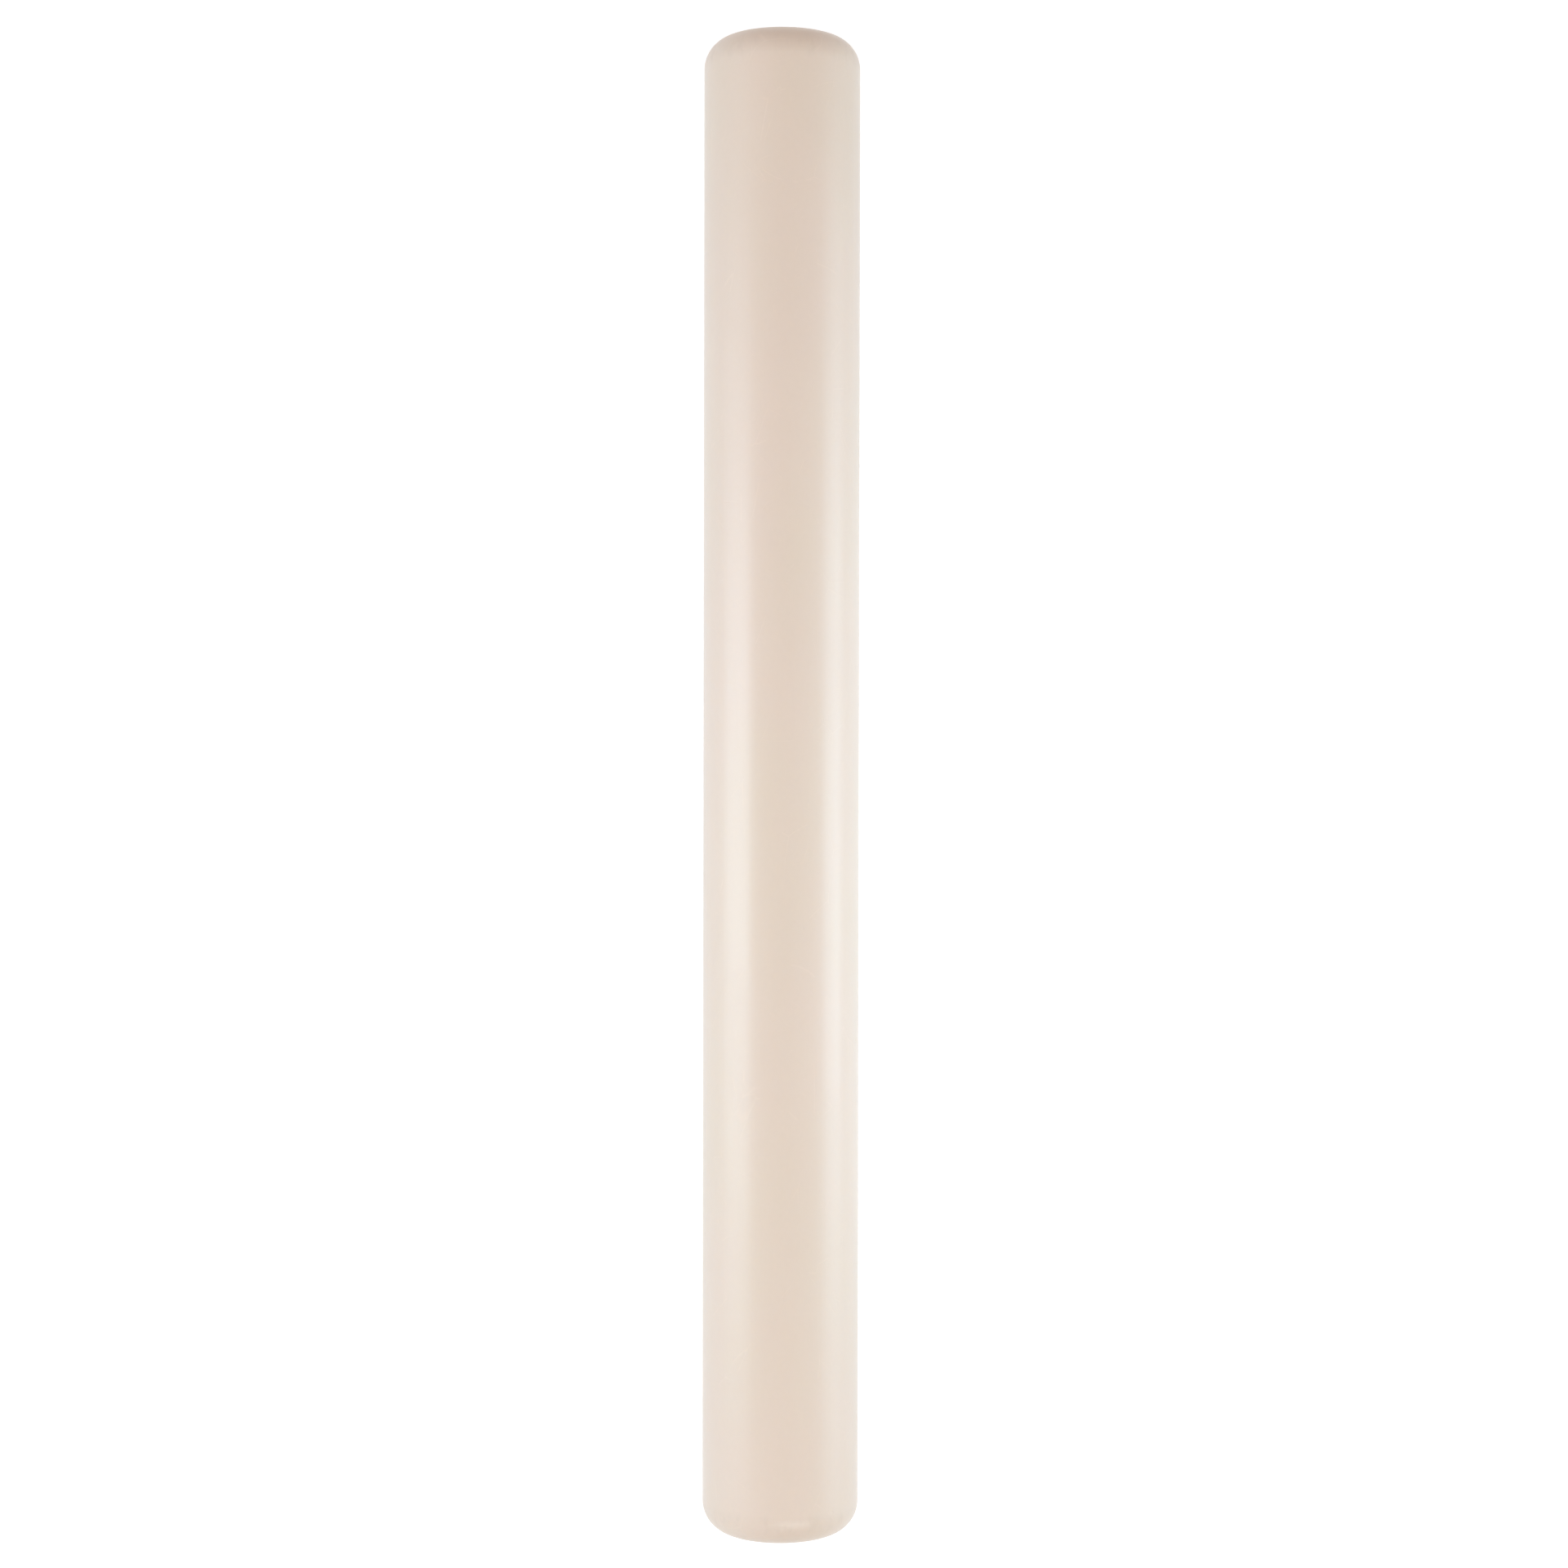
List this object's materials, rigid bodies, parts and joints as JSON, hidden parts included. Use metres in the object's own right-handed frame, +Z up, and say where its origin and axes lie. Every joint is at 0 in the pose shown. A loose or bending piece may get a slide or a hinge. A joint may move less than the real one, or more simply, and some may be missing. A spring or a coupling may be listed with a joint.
{
  "type": "rolling pin",
  "caption": "One-piece straight rolling pin: a plain round plastic barrel with rounded ends and no handles, for rolling out dough and sugar paste.",
  "frame": {"origin": "middle of the pin, on its roll axis", "axes": "+X along the roll axis from end to end, +Y the way the pin rolls away from its user, +Z up with the pin lying on a table"},
  "size_m": [0.48, 0.05, 0.05],
  "materials": {
    "ivory_plastic": "satin"
  },
  "bodies": {
    "root": {"pin_body": "ivory_plastic"}
  },
  "joints": []
}
